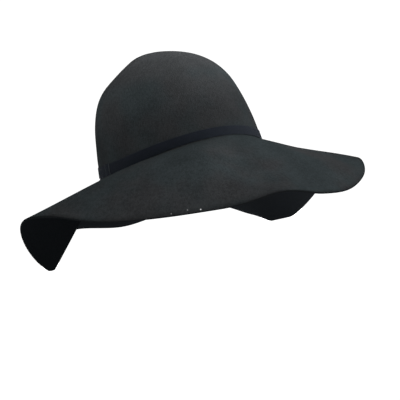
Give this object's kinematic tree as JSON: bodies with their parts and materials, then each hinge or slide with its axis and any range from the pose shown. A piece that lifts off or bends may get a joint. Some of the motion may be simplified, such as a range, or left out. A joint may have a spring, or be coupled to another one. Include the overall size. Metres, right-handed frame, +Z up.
{
  "type": "wide-brimmed felt hat",
  "caption": "Floppy felt hat with a round open crown, a wide wavy drooping brim and a narrow ribbon band.",
  "frame": {"origin": "on the floor under the middle of the hat's bounding box", "axes": "+Z up from the floor, the front of the hat toward -Y, the wearer's left toward +X"},
  "size_m": [0.3796, 0.395, 0.2162],
  "materials": {
    "felt": "charcoal wool felt, brushed matt nap",
    "ribbon": "near-black woven ribbon, matt"
  },
  "bodies": {
    "root": {"felt_body": "felt", "hat_band": "ribbon", "band_keeper": "ribbon"}
  },
  "joints": []
}
